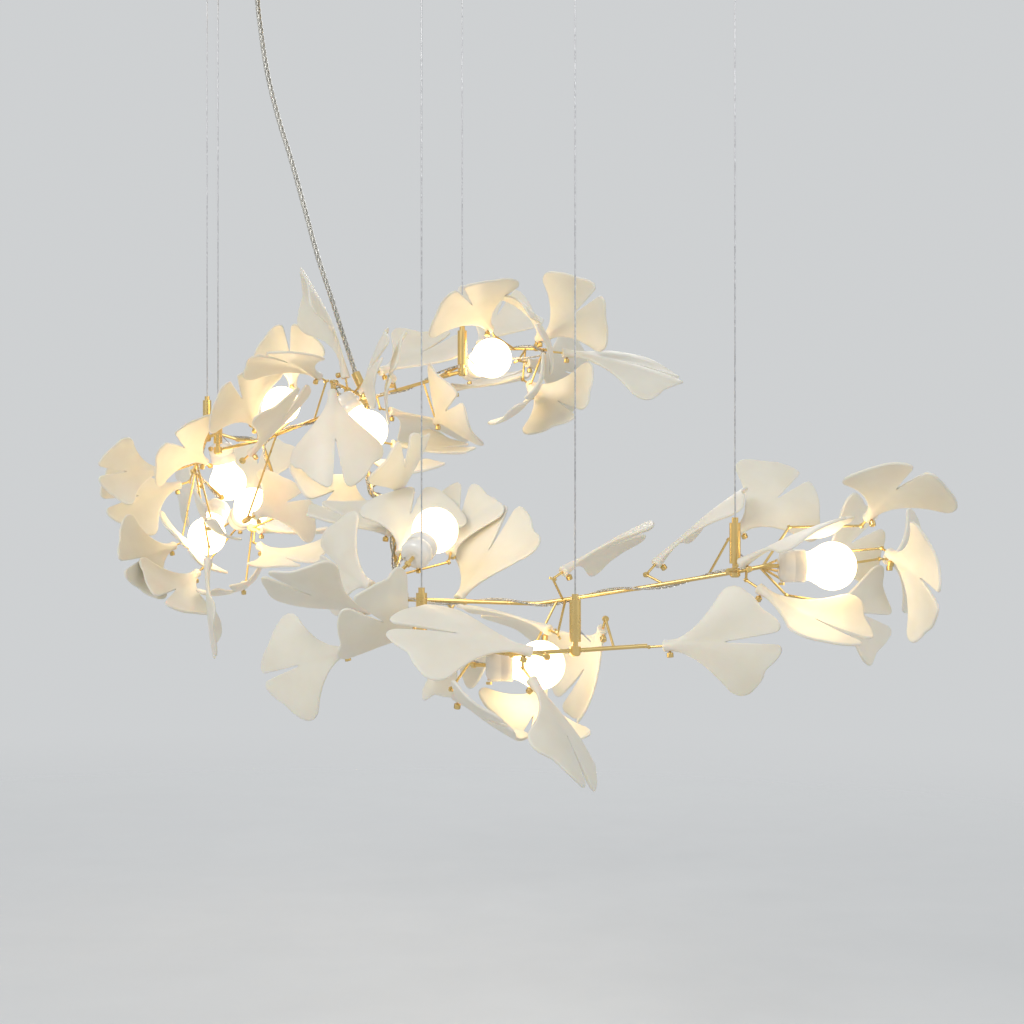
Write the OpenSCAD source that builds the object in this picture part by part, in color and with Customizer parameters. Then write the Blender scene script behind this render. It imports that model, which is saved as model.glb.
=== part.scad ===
// Ceramic chandelier: brass branches carrying porcelain ginkgo leaves and globe lamps,
// hung from the ceiling on six steel wires and fed by one clear cord.
// Units are millimetres. The origin is the centre of the ceiling rose, on the ceiling.
// +X runs to the right, +Y runs away from the viewer and +Z points up.

/* [Suspension] */
// Height from the branch datum up to the ceiling
drop = 665; // [600:5:900]
// Distance from the rose to the branch datum, along X
datum_x = 300; // [280:5:320]
// Diameter of a suspension wire
wire_d = 1.5; // [1.2:0.1:1.8]
// Diameter of the power cord
cord_d = 6; // [5:0.5:7]
// Radius of a wire anchor's cap at the ceiling
anchor_r = 10; // [9:0.5:12]
// Length of a wire anchor below the ceiling
anchor_l = 22; // [20:1:28]

/* [Leaf] */
// Length of a standard leaf from foot to tip
leaf_l = 120; // [110:1:140]
// Width of a standard leaf from wing to wing
leaf_w = 122; // [100:1:130]
// Thickness of the porcelain
leaf_t = 2.8; // [2:0.1:3.5]
// Radius of the stalk at its foot
stalk_r = 5.6; // [5:0.1:6.5]
// Width of the slit at the rim
slit_w = 4; // [3:0.5:6]
// Share of the leaf's length at which the slit ends
slit_from = 0.57; // [0.5:0.01:0.7]

/* [Branches] */
// Diameter of a main branch rod
rod_d = 4; // [3.5:0.1:5]
// Diameter of a leaf stem
stem_d = 2.4; // [2:0.1:3]

/* [Hidden] */
$fn = 24;

// Leaves that turn on their stems, and big leaves with a node of their own
turning = ["r1", "r7", "b2", "c5", "c6", "t5", "l7"];
single = ["r8", "b1", "c3", "t1", "t4", "l15"];

rows_n = 6;
half_n = 4;
// Height of a release nozzle above its wire's loop
nozzle_z = 42;

// Lamp centres, measured from the branch datum
lamps = [
    [297, -495, -50],
    [-23, -88, 174],
    [26, -520, -140],
    [-315, 80, 7],
    [-352, 130, 37],
    [-280, 80, 130],
    [-161, -120, 91],
    [-366, 50, -29],
    [-75, -400, -18],
];

// Direction from each lampholder to its globe
lamp_aims = [
    [1, 0, 0],
    [29, -38, 10],
    [1, 0, 0],
    [23, -38, 17],
    [10, 12, -54],
    [25, -40, 8],
    [30, -10, -35],
    [-10, -30, -38],
    [20, 38, 26],
];

// Branch rods: each route is a chain of points from the branch datum
hub = [-110, -400, -85];
knee = [-165, -70, 129];
ball_r = 9;
collar_wall = 0.15;
twig_r = 1.8;
holder_back = 50;
seat_h = 3.8;
rose_r = 56;
rose_h = 42;
near_route = [hub, [25, -430, -88], [120, -460, -72], [208, -485, -56], [235, -495, -50]];
low_route = [hub, [-85, -470, -122], [0, -550, -128], [57, -545, -125], [123, -525, -122]];
low_lamp_route = [[-85, -470, -122], [-50, -505, -137]];
far_route = [knee, [-128, -66, 140], [-92, -60, 151]];
far_end_route = [[-92, -60, 151], [-75, -30, 162], [-20, -22, 190], [28, -46, 188], [42, -86, 183]];
far_wire_route = [[-92, -60, 151], [-72, -88, 156], [-56, -100, 158]];
left_route = [knee, [-252, 30, 103], [-304, 80, 87], [-337, 110, 89], [-363, 117, 97], [-377, 123, 92]];
left_wire_route = [[-304, 80, 87], [-330, 58, 80], [-352, 44, 74]];
lamp4_route = [[-304, 80, 87], [-296, 130, 45], [-325, 145, 0]];
lamp6_route = [[-304, 80, 87], [-322, 138, 108]];
lamp8_route = [[-377, 123, 92], [-392, 108, 50]];
link_route = [knee, [-170, -50, 70], [-150, -200, 20], [-127, -250, 7], hub];
lamp9_route = [hub, [-122, -440, -72]];
lamp7_route = [knee, [-200, -88, 146]];

// Suspension points on the rods
hangs = [
    [-377, 123, 92],
    [-352, 44, 74],
    [-85, -470, -122],
    [-56, -100, 158],
    [57, -545, -125],
    [208, -485, -56],
];

// Cord: from the terminal block through the cord grip to the knee of the branches
cord_route = [
    [0, 0, -20],
    [0, 0, -45],
    [1, 0, -66],
    [4, -3, -91],
    [13, -10, -148],
    [27, -18, -204],
    [44, -26, -258],
    [61, -34, -318],
    [76, -42, -371],
    [91, -50, -415],
    [111, -60, -476],
    [123, -66, -512],
];
cord_line = line_of(cord_route, 3);
cord_in = cord_line[len(cord_line) - 1];
cord_dir = unit(cord_in - cord_line[len(cord_line) - 2]);
gland_depth = 6;

// Leaf forms: cup angle at the wings, curl angle from foot to tip, wave height
open = [25, 15, 2];
hollow = [50, 25, 2];

// Leaves: lamp, foot from that lamp, direction, hollow face, size, form,
// and where the stem has to go round its lamp, a bend in it
leaves = [
    ["r1", 0, [33, 0, 44], [34, -105, 62], [-2, -4, -9], 1, open, [-38, 14, 36]],
    ["r2", 0, [53, 0, 12], [38, -108, -36], [-15, -5, -2], 1.05, open, [-38, 36, 8]],
    ["r3", 0, [60, 50, 5], [75, 90, -5], [-9, 7, 0], 0.95, open, [-38, 34, -8]],
    ["r4", 0, [-5, 45, -5], [60, 75, 45], [7, -7, 0], 0.9, open, [-42, 30, -14]],
    ["r5", 0, [4, 29, -36.5], [62, 90, -22], [8, -6, 0], 0.9, open, [-40, 20, -28]],
    ["r6", 0, [-70, -10, -20], [95, -55, -65], [3, -5, 8], 1, open],
    ["r7", 0, [-159, -35, -72], [110, -45, 10], [3, 9, 0], 0.92, open],
    ["r8", 0, [-161, 45, 0], [84, 50, 88], [7, 0, -7], 1.05, open],
    ["r9", 0, [-80, 71, 31], [82, 60, 64], [-3, 11, -6], 1, open],
    ["r10", 0, [-87, -15, 2], [88, -60, 60], [5, -2, -8], 1, open],
    ["r11", 0, [-249, 45, -7], [78, 70, 51], [5, -2, -8], 1, open],
    ["b1", 2, [-8, -50, 15], [-127, -10, 40], [0, 5, -9], 1.12, open],
    ["b2", 2, [-9, -50, -9], [62, -60, -82], [-8, 3, -6], 1, open],
    ["b3", 2, [4, 60, -24], [-24, -105, -52], [4, -6, 10], 1, open, [-6, 74, 10]],
    ["b4", 2, [-76, -38, -24], [40, -95, -32], [6, 0, 7], 0.85, open],
    ["b5", 2, [9, 50, 29], [-65, 95, 25], [-2, -3, -9], 1, open],
    ["b6", 2, [58, 15, 33], [-15, 90, -75], [-7, -4, 0], 1, hollow],
    ["c1", 8, [-34, 5, -23], [14, 80, 75], [0, 8, -9], 1, open],
    ["c2", 8, [14, 44, -23], [15, 80, 65], [0, -6, 8], 0.83, open],
    ["c3", 8, [22, 20, -68], [58, 70, 80], [-3, -7, 9], 1.05, open],
    ["c4", 8, [-61, -10, -54], [-75, 90, 35], [7, 6, 0], 1, open],
    ["c5", 8, [-61, -30, -76], [-100, -55, 22], [1, 5, 9], 0.95, open],
    ["c6", 8, [-81, -20, -114], [-98, 50, -33], [5, 8, 0], 1, open],
    ["c7", 8, [-15, -84, -99], [-46, -92, 28], [-7, 5, 5.5], 0.92, open],
    ["c10", 8, [18, -4, -95], [4, -105, -50], [6, 4, -8], 0.88, open],
    ["c11", 8, [-48, 75, -2], [-75, 60, 14], [0, -2, 9], 0.9, open],
    ["t1", 1, [-2, -5, 32], [-37, -105, 46], [4, -5, -8], 1.05, open],
    ["t2", 1, [-14, 55, 20], [32, 95, 62], [3, -7, 9], 1, open],
    ["t3", 1, [54, 25, 24], [14, -112, 22], [-8, -1, -5], 1.05, hollow],
    ["t4", 1, [59, 48, 25], [74, -82, 56], [-7, -8, -5], 1, open],
    ["t5", 1, [80, 0, 6], [128, 17, -10], [-2, 4, -9], 1.22, open],
    ["t6", 1, [40, 40, -2], [85, 80, -12], [-7, 7, 0], 1.05, open],
    ["t7", 1, [43, 35, -27], [65, -90, -49], [-6, -8, 7], 1, open],
    ["t9", 1, [45, 5, -34], [8, -108, -36], [-8, -3, 6], 1, hollow],
    ["t10", 1, [-62, 20, -70], [14, -112, 10], [8, 2, 5], 1, open],
    ["t12", 1, [-127, 0, -15], [86, 75, 36], [0, -4, 8], 1, open],
    ["t13", 1, [-112, -10, -24], [-8, -115, 0], [9, 1, -2], 0.95, open],
    ["l1", 3, [46, 30, 145], [-3, -50, 90], [1, -9, -5], 0.85, hollow, [50, 20, 110]],
    ["l2", 3, [87, -60, 153], [-61, -100, 36], [0, -3, -8], 1, open],
    ["l3", 6, [-27, 30, 60], [-22, 10, 121], [-9, -2, -2], 1.15, hollow],
    ["l4", 3, [4, 10, 96], [-24, -100, 62], [8, -7, -7], 1.05, open],
    ["l6", 3, [3, -50, 62], [84, -60, 68], [-6, 1, 7], 1, open],
    ["l7", 3, [-109, 0, 43], [-77, -50, -2], [8, -12, 0], 0.8, hollow],
    ["l8", 3, [-96, 45, 27], [-88, -72, -30], [5, -7, 3], 1, open],
    ["l9", 3, [-97, 8, -48], [-58, -100, -28], [8, -5, 3], 1, open],
    ["l10", 3, [-69, 10, -81], [-35, -105, -40], [6, -5, 8], 1, open],
    ["l12", 3, [-39, -100, -61], [-4, -30, -124], [9, 1, 0], 1, open],
    ["l13", 3, [-13, 20, -96], [-3, -112, -25], [-3, -2, 8], 0.85, hollow],
    ["l14", 3, [11, -70, -12], [64, 95, 35], [-8, 8, -7], 1, open],
    ["l15", 6, [-36, -40, 41], [13, -75, -100], [0, 8, -6], 1, hollow],
    ["t15", 1, [-47, 58, -30], [100, 60, 10], [1, -1, 9], 0.9, open],
    ["t16", 6, [20, 65, 25], [77, 80, -18], [0, -2, -9], 1, open],
    ["t17", 6, [25, 35, -14], [95, 50, -15], [0, -3, 9], 0.85, open],
    ["m1", 6, [-5, 0, 43], [17, -105, 45], [9, 3, -3], 0.9, open],
    ["m2", 8, [-43, 118, 34], [26, -95, 60], [-8, 3, 8], 0.8, open],
    ["m3", 6, [30, -60, -51], [28, 110, 8], [0, -2, 9], 0.8, open],
    ["l16", 6, [-14, 20, -46], [-40, -90, -45], [4, -6, 8], 1, open],
    ["l17", 3, [-60, 14, 54], [-34, -100, 34], [7, -4, -6], 1, open],
    ["l18", 3, [-10, 72, 14], [0, 100, 61], [0, -5, 8], 1.05, open],
    ["l20", 3, [-75, 52, 25], [-58, 100, 5], [9, 5, 0], 1, open],
    ["l22", 3, [-70, 20, -47], [-8, -112, -12], [7, -2, 7], 1, open],
    ["l23", 3, [-41, -75, -18], [-3, -115, -5], [8, 1, 6], 0.85, hollow],
    ["l24", 3, [8, 0, -48], [70, -88, -35], [0, -4, 9], 1, open],
    ["l25", 3, [8, 0, -28], [60, 100, -15], [0, -2, 9], 1, open, [32, 5, -12]],
];

function unit(v) = v / norm(v);

// Axes of a leaf: across, along, and the side that the hollow face looks to
function leaf_axes(aim, face) =
    let (
        along = unit(aim),
        side = unit(face - along * (face * along)),
        across = cross(along, side)
    )
    [across, along, side];

// Height of the rim at w, from -1 at one wing to 1 at the other, as a share of the length
function rim(w) = 1 - 0.42 * pow(abs(w), 1.4) - 0.04 * max(0, 1 - 4 * abs(w));

// Middle surface of a leaf: u runs from foot to rim, w from wing to wing
function mid_point(u, w, size, form, gap) =
    let (
        l = leaf_l * size,
        half = leaf_w * size / 2,
        x0 = stalk_r * w * pow(1 - u, 2) + half * w * pow(u, 2) + gap,
        bow = form[0] * PI / 180 / half,
        turn = form[1] * PI / 180 / l,
        run = l * u * rim(w),
        x = sin(x0 * bow * 180 / PI) / bow,
        lift = (1 - cos(x0 * bow * 180 / PI)) / bow,
        wave = form[2] * sin(w * 300 + 40) * u * u,
        bend = run * turn * 180 / PI,
        y = sin(bend) / turn,
        z = (1 - cos(bend)) / turn
    )
    [x, y - lift * sin(bend), z + lift * cos(bend) + wave];

// Half the thickness: the stalk is round, the blade is thin
function half_t(u, w) =
    leaf_t / 2 + (stalk_r - leaf_t / 2) * sqrt(max(0, 1 - w * w)) * pow(max(0, 1 - u / 0.35), 1.5);

function skin_point(u, w, size, form, gap, s) =
    let (
        d = 0.004,
        p = mid_point(u, w, size, form, gap),
        pu = mid_point(u + d, w, size, form, gap) - mid_point(max(0, u - d), w, size, form, gap),
        pw = mid_point(max(u, 0.02), w + d, size, form, gap)
            - mid_point(max(u, 0.02), w - d, size, form, gap),
        n = unit(cross(pw, pu))
    )
    p + n * s * half_t(u, w);

cols = 2 * half_n + 2;
slit_row = round(slit_from * rows_n);

function col_w(j) = j <= half_n ? -1 + j / half_n : (j - half_n - 1) / half_n;

function col_gap(i, j) =
    let (open_by = slit_w / 2 * max(0, i - slit_row) / (rows_n - slit_row))
    j == half_n ? -open_by : j == half_n + 1 ? open_by : 0;

// Index of a grid point; the two middle columns are one below the slit
function at(s, i, j) =
    (s * (rows_n + 1) + i) * cols + (j == half_n + 1 && i <= slit_row ? half_n : j);

function quad(a, b, c, d) = [[a, b, c], [a, c, d]];

function leaf_faces() =
    let (
        spans = [for (j = [0 : cols - 2]) if (j != half_n) j],
        skins = [
            for (i = [0 : rows_n - 1], j = spans)
                each concat(
                    quad(at(1, i, j), at(1, i + 1, j), at(1, i + 1, j + 1), at(1, i, j + 1)),
                    quad(at(0, i, j), at(0, i, j + 1), at(0, i + 1, j + 1), at(0, i + 1, j))
                )
        ],
        ends = [
            for (j = spans)
                each concat(
                    quad(at(0, 0, j), at(1, 0, j), at(1, 0, j + 1), at(0, 0, j + 1)),
                    quad(at(0, rows_n, j), at(0, rows_n, j + 1), at(1, rows_n, j + 1), at(1, rows_n, j))
                )
        ],
        edges = [
            for (i = [0 : rows_n - 1])
                each concat(
                    quad(at(0, i, 0), at(0, i + 1, 0), at(1, i + 1, 0), at(1, i, 0)),
                    quad(at(0, i, cols - 1), at(1, i, cols - 1), at(1, i + 1, cols - 1), at(0, i + 1, cols - 1))
                )
        ],
        slit = [
            for (i = [slit_row : rows_n - 1])
                each concat(
                    i == slit_row
                        ? [[at(0, i, half_n), at(1, i + 1, half_n), at(0, i + 1, half_n)],
                           [at(0, i, half_n), at(1, i, half_n), at(1, i + 1, half_n)]]
                        : quad(at(0, i, half_n), at(1, i, half_n), at(1, i + 1, half_n), at(0, i + 1, half_n)),
                    quad(at(0, i, half_n + 1), at(0, i + 1, half_n + 1), at(1, i + 1, half_n + 1), at(1, i, half_n + 1))
                )
        ]
    )
    concat(skins, ends, edges, slit);

function leaf_points(size, form) = [
    for (s = [-1, 1], i = [0 : rows_n], j = [0 : cols - 1])
        skin_point(i / rows_n, col_w(j), size, form, col_gap(i, j), s)
];

module hung() {
    translate([datum_x, 0, -drop]) children();
}

// Cylinder between two points
module bar(a, b, r) {
    d = b - a;
    translate(a)
        rotate([0, acos(d[2] / norm(d)), atan2(d[1], d[0])])
            cylinder(h = norm(d), r = r);
}

module turned(at_point, aim) {
    d = unit(aim);
    translate(at_point)
        rotate([0, acos(d[2]), atan2(d[1], d[0])])
            children();
}

// Collar around a bend, wide enough for both pieces that end in it
module collar(a, b, c, h, r) {
    p = unit(b - a);
    q = unit(c - b);
    half_turn = acos(p * q) / 2;
    mean = unit(p + q) * h;
    bar(b - mean, b + mean, h * tan(half_turn) + r / cos(half_turn) + collar_wall);
}

// Rod bent in steps. A brazed collar covers each bend, and the pieces end inside it
module rod(route, r = rod_d / 2) {
    n = len(route);
    h = r * 0.9;
    for (i = [0 : n - 2]) {
        d = unit(route[i + 1] - route[i]) * h * 0.6;
        bar(route[i] + d, i == n - 2 ? route[i + 1] : route[i + 1] - d, r);
    }
    for (i = [1 : n - 2]) collar(route[i - 1], route[i], route[i + 1], h, r);
}

function lamp_axis(i) = unit(lamp_aims[i]);
function behind(i, d) = lamps[i] - d * lamp_axis(i);

// Last points of a rod that ends in a lampholder
function into_holder(i) = [behind(i, holder_back + 11), behind(i, holder_back - 6)];

// A route that starts inside a socket of the ball it is brazed into
function from_ball(route) =
    concat([route[0] + unit(route[1] - route[0]) * 5.5], [for (i = [1 : len(route) - 1]) route[i]]);

// All rods that a stem can be brazed to, as pairs of points
function pairs(route) = [for (i = [0 : len(route) - 2]) [route[i], route[i + 1]]];

near_full = concat(near_route, [behind(0, holder_back - 6)]);
low_lamp_full = concat(low_lamp_route, into_holder(2));
far_full = concat(far_route, into_holder(1));
lamp4_full = concat(lamp4_route, into_holder(3));
lamp5_full = [left_route[4], behind(4, holder_back - 6)];
lamp6_full = concat(lamp6_route, into_holder(5));
lamp7_full = concat(lamp7_route, into_holder(6));
lamp8_full = concat(lamp8_route, into_holder(7));
lamp9_full = concat(lamp9_route, into_holder(8));

function arm_pairs(arm) =
    arm == "near" ? pairs(near_route)
    : arm == "low" ? concat(pairs(low_route), pairs(low_lamp_route))
    : arm == "far" ? concat(pairs(far_route), pairs(far_end_route))
    : arm == "left" ? concat(pairs(left_route), pairs(lamp4_route), pairs(lamp6_route), pairs(lamp8_route))
    : concat(pairs(link_route), pairs(lamp9_route), pairs(lamp7_route));

// Nearest place on a rod, kept off its ends; k shifts the limits a little for each leaf
function near_on(p, pair, k) =
    let (
        d = pair[1] - pair[0],
        t = (p - pair[0]) * d / (d * d),
        off = 0.1 + 0.023 * k
    )
    pair[0] + d * min(1 - off, max(off, t));

function nearest(p, pts, i = 0, best = [0, 0, 0], far = 1e9) =
    i == len(pts) ? best
    : norm(pts[i] - p) < far ? nearest(p, pts, i + 1, pts[i], norm(pts[i] - p))
    : nearest(p, pts, i + 1, best, far);

arms = ["near", "low", "far", "left", "main"];

function foot_of(leaf) = lamps[leaf[1]] + leaf[2];
function stem_bend(leaf) = foot_of(leaf) - unit(leaf[3]) * 14;
function stem_line(leaf) =
    concat([stem_bend(leaf)], len(leaf) > 7 ? [lamps[leaf[1]] + leaf[7]] : []);
function stem_start(leaf) = stem_line(leaf)[len(stem_line(leaf)) - 1];
function limit_of(leaf) = search([leaf[0]], leaves)[0] % 9;
function on_arm(leaf, arm) =
    nearest(stem_start(leaf), [for (pair = arm_pairs(arm)) near_on(stem_start(leaf), pair, limit_of(leaf))]);
function root_of(leaf) = nearest(stem_start(leaf), [for (arm = arms) on_arm(leaf, arm)]);
function leaf_on(leaf, arm) = norm(root_of(leaf) - on_arm(leaf, arm)) < 0.001;

// Stem of a leaf, brazed to the nearest rod and bent into line with the leaf
module stem(leaf) {
    rod(concat([foot_of(leaf) + unit(leaf[3]) * 9], stem_line(leaf), [root_of(leaf)]), stem_d / 2);
}

module stems(arm) {
    for (leaf = leaves) if (leaf_on(leaf, arm)) stem(leaf);
}

// Turned drum in which the main rods meet
module drum(centre) {
    translate(centre)
        rotate_extrude()
            polygon([[0, -ball_r], [ball_r - 3, -ball_r], [ball_r, 3 - ball_r], [ball_r, ball_r - 3],
                     [ball_r - 3, ball_r], [0, ball_r]]);
}

// Turned seat on a rod, for the stud of a wire gripper
module seat(i) {
    translate(hangs[i])
        rotate_extrude()
            polygon([[0, -5], [3.4, -5], [5, -3.4], [5, seat_h + 1], [0, seat_h + 1]]);
}

// Flat and hole of the seat that carries the stud of a wire gripper
module seat_hole(i) {
    translate(hangs[i]) {
        translate([0, 0, seat_h]) cylinder(h = 5, r = 6);
        translate([0, 0, -2]) cylinder(h = 8, r = 1.55);
    }
}

module near_arm() {
    color("goldenrod")
        hung()
            difference() {
                union() {
                    rod(from_ball(near_full));
                    stems("near");
                    seat(5);
                }
                seat_hole(5);
            }
}

module low_arm() {
    color("goldenrod")
        hung()
            difference() {
                union() {
                    rod(from_ball(low_route));
                    rod(low_lamp_full, twig_r);
                    stems("low");
                    seat(2);
                    seat(4);
                }
                seat_hole(2);
                seat_hole(4);
            }
}

module far_arm() {
    color("goldenrod")
        hung()
            difference() {
                union() {
                    rod(from_ball(far_full));
                    rod(far_end_route, twig_r);
                    rod(far_wire_route, twig_r);
                    stems("far");
                    seat(3);
                }
                seat_hole(3);
            }
}

module left_arm() {
    color("goldenrod")
        hung()
            difference() {
                union() {
                    rod(from_ball(left_route));
                    rod(left_wire_route, twig_r);
                    rod(lamp4_full, twig_r);
                    rod(lamp5_full, twig_r);
                    rod(lamp6_full, twig_r);
                    rod(lamp8_full, twig_r);
                    stems("left");
                    seat(0);
                    seat(1);
                }
                seat_hole(0);
                seat_hole(1);
            }
}

module socket(route) {
    d = unit(route[1] - route[0]);
    bar(route[0] + d * 5, route[0] + d * 12, rod_d / 2 + 0.05);
}

// Hub, knee and the rod between them, with the rods of the two lamps beside them
module main_arm() {
    color("goldenrod")
        difference() {
            union() {
                hung() {
                    rod(link_route);
                    rod(lamp9_full, twig_r);
                    rod(lamp7_full, twig_r);
                    drum(hub);
                    drum(knee);
                    stems("main");
                }
                bar([datum_x, 0, -drop] + knee, cord_in - cord_dir * gland_depth, cord_d / 2 + 2.2);
            }
            hung() {
                socket(near_route);
                socket(low_route);
                socket(far_route);
                socket(left_route);
            }
            bar(cord_in, cord_in - cord_dir * 30, cord_d / 2 + 0.3);
        }
}

module lampholder(i) {
    turned(lamps[i], lamp_aims[i])
        difference() {
            rotate_extrude()
                polygon([[0, -50], [9, -50], [13, -48.5], [15.25, -45], [15.25, -26], [14.6, -25], [0, -25]]);
            translate([0, 0, -29]) cylinder(h = 5, r = 13.9);
            translate([0, 0, -42.5]) cylinder(h = 20, r = 7.4);
            translate([0, 0, -51]) cylinder(h = 7, r = rod_d / 2 + 0.05);
            translate([0, 8.5, -51]) cylinder(h = 20, r = 1.3);
            translate([0, 0, -47]) rotate([0, 90, 0]) cylinder(h = 20, r = 1.55);
        }
}

module lampholders() {
    color("white") hung() for (i = [0 : 8]) lampholder(i);
}

// Set screws that hold the lampholders on their rods
module holder_screws() {
    color("goldenrod")
        hung()
            for (i = [0 : 8])
                turned(lamps[i], lamp_aims[i])
                    translate([0, 0, -47])
                        rotate([0, 90, 0])
                            difference() {
                                union() {
                                    translate([0, 0, rod_d / 2]) cylinder(h = 14 - rod_d / 2, r = 1.5);
                                    translate([0, 0, 15.4]) cylinder(h = 2.4, r = 2.8);
                                }
                                translate([-3, -0.4, 17]) cube([6, 0.8, 2]);
                            }
}

module bulb(i) {
    turned(lamps[i], lamp_aims[i]) {
        rotate_extrude()
            difference() {
                union() {
                    circle(r = 22.5);
                    polygon([[0, -28.5], [12.4, -28.5], [13, -26], [13.6, -20], [15.5, -15], [0, -10]]);
                }
                translate([-30, -30]) square([30, 60]);
            }
        translate([0, 0, -41]) cylinder(h = 13, r = 6.9);
        translate([0, 0, -42]) cylinder(h = 2, r = 3.5);
    }
}

module bulbs() {
    color("white", 0.8) hung() for (i = [0 : 8]) bulb(i);
}

// Smooth line through hand-set points
function smooth(p, i, t) =
    let (
        a = p[max(0, i - 1)],
        b = p[i],
        c = p[i + 1],
        d = p[min(len(p) - 1, i + 2)]
    )
    (2 * b + (c - a) * t + (2 * a - 5 * b + 4 * c - d) * t * t + (3 * b - a - 3 * c + d) * t * t * t) / 2;

function line_of(p, steps) =
    [for (i = [0 : len(p) - 2], s = [0 : steps - 1]) smooth(p, i, s / steps), p[len(p) - 1]];

// Round tube along a line, as one closed skin
module tube(line, r, sides) {
    n = len(line);
    dirs = [for (i = [0 : n - 1]) unit(line[min(n - 1, i + 1)] - line[max(0, i - 1)])];
    sides_a = [for (d = dirs) unit(cross(d, abs(d[0]) < 0.8 ? [1, 0, 0] : [0, 1, 0]))];
    points = [
        for (i = [0 : n - 1], k = [0 : sides - 1])
            line[i] + r * (cos(k * 360 / sides) * sides_a[i] + sin(k * 360 / sides) * cross(dirs[i], sides_a[i]))
    ];
    walls = [
        for (i = [0 : n - 2], k = [0 : sides - 1])
            let (q = (k + 1) % sides)
            each quad(i * sides + k, (i + 1) * sides + k, (i + 1) * sides + q, i * sides + q)
    ];
    lids = [
        for (k = [1 : sides - 2])
            each [[0, k, k + 1], [(n - 1) * sides, (n - 1) * sides + k + 1, (n - 1) * sides + k]]
    ];
    polyhedron(points, concat(walls, lids));
}

module power_cord() {
    color("silver", 0.6) tube(cord_line, cord_d / 2, 10);
}

// Short leads from the lampholders to their rods
module lamp_leads() {
    color("silver", 0.6)
        hung()
            for (i = [0 : 8])
                turned(lamps[i], lamp_aims[i])
                    tube(line_of([[0, 8.5, -45], [0, 8.5, -51], [0, 7, -54.5], [0, 3.6, -57.5]], 2), 1.1, 8);
}

// Stalk bore for the stem, and the tapped hole for its clamp screw
module stalk_holes(leaf) {
    turned(foot_of(leaf), leaf[3]) {
        translate([0, 0, -1]) cylinder(h = 11, r = stem_d / 2 + 0.05);
        translate([0, 0, 5.5]) rotate([0, 90, 0]) cylinder(h = 12, r = 1.3);
    }
}

module leaf_solid(leaf) {
    axes = leaf_axes(leaf[3], leaf[4]);
    foot = foot_of(leaf);
    points = [for (p = leaf_points(leaf[5], leaf[6])) foot + p[0] * axes[0] + p[1] * axes[1] + p[2] * axes[2]];
    difference() {
        polyhedron(points, leaf_faces());
        stalk_holes(leaf);
    }
}

// Knurled brass thumb screw that clamps a leaf on its stem
module clamp_screw(leaf) {
    turned(foot_of(leaf), leaf[3])
        translate([0, 0, 5.5])
            rotate([0, 90, 0]) {
                translate([0, 0, stem_d / 2 + 0.05]) cylinder(h = 6, r = 1.25);
                translate([0, 0, 6.3]) cylinder(h = 4.5, r = 3);
            }
}

function has(list, name) = len([for (n = list) if (n == name) n]) > 0;
function first(name) = name[0];

module one_leaf(name) {
    color("ivory") hung() for (leaf = leaves) if (leaf[0] == name) leaf_solid(leaf);
}

module one_screw(name) {
    color("goldenrod") hung() for (leaf = leaves) if (leaf[0] == name) clamp_screw(leaf);
}

module leaf_screws() {
    color("goldenrod") hung() for (leaf = leaves) if (!has(turning, leaf[0])) clamp_screw(leaf);
}

module leaf_group(letter) {
    color("ivory")
        hung()
            for (leaf = leaves)
                if (has(letter, first(leaf[0])) && !has(turning, leaf[0]) && !has(single, leaf[0]))
                    leaf_solid(leaf);
}

function hang_at(i) = [datum_x, 0, -drop] + hangs[i];

// Steel suspension wire with its free tail beside the gripper
module wire(i) {
    color("gray") {
        top = [hang_at(i)[0], hang_at(i)[1], -6];
        turn = hang_at(i) + [0, 0, 22];
        rod([top, turn, turn + [14, 0, -14]], wire_d / 2);
    }
}

module gripper(i) {
    color("goldenrod")
        translate(hang_at(i))
            difference() {
                union() {
                    translate([0, 0, seat_h]) cylinder(h = 5, r = 2.6);
                    translate([0, 0, seat_h - 5]) cylinder(h = 6, r = 1.5);
                    translate([0, 0, 8]) cylinder(h = 38, r = 5.25);
                }
                translate([0, 0, 39]) cylinder(h = 8, r = 3.1);
                translate([0, 0, 22]) cylinder(h = 20, r = 1.1);
                translate([0, 0, 19]) cylinder(h = 6, r = 1.6);
                bar([8, 0, 14], [0, 0, 22], 1.1);
            }
}

module nozzle(i) {
    color("goldenrod")
        translate(hang_at(i) + [0, 0, nozzle_z])
            difference() {
                cylinder(h = 9, r = 3.05);
                translate([0, 0, -1]) cylinder(h = 11, r = 1.1);
            }
}

module wire_anchors() {
    color("goldenrod")
        for (i = [0 : 5])
            translate([hang_at(i)[0], hang_at(i)[1], 0])
                difference() {
                    rotate_extrude()
                        polygon([[0, 0], [anchor_r, 0], [anchor_r, -3], [anchor_r / 2, -7], [anchor_r / 2, 2 - anchor_l],
                                 [anchor_r / 2 - 1.5, -anchor_l], [0, -anchor_l]]);
                    translate([0, 0, -anchor_l - 1]) cylinder(h = 17, r = wire_d / 2 + 0.05);
                }
}

module ceiling_rose() {
    color("goldenrod")
        difference() {
            translate([0, 0, -rose_h])
                rotate_extrude()
                    polygon([[0, 0], [rose_r - 4, 0], [rose_r, 4], [rose_r, rose_h], [rose_r - 1.5, rose_h],
                             [rose_r - 1.5, 5], [rose_r - 5, 1.5], [0, 1.5]]);
            translate([0, 0, -rose_h - 1]) cylinder(h = 4, r = 6.1);
            for (s = [-1, 1])
                translate([0, 0, -14]) rotate([0, 90 * s, 0]) cylinder(h = 80, r = 2.1);
        }
}

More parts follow.
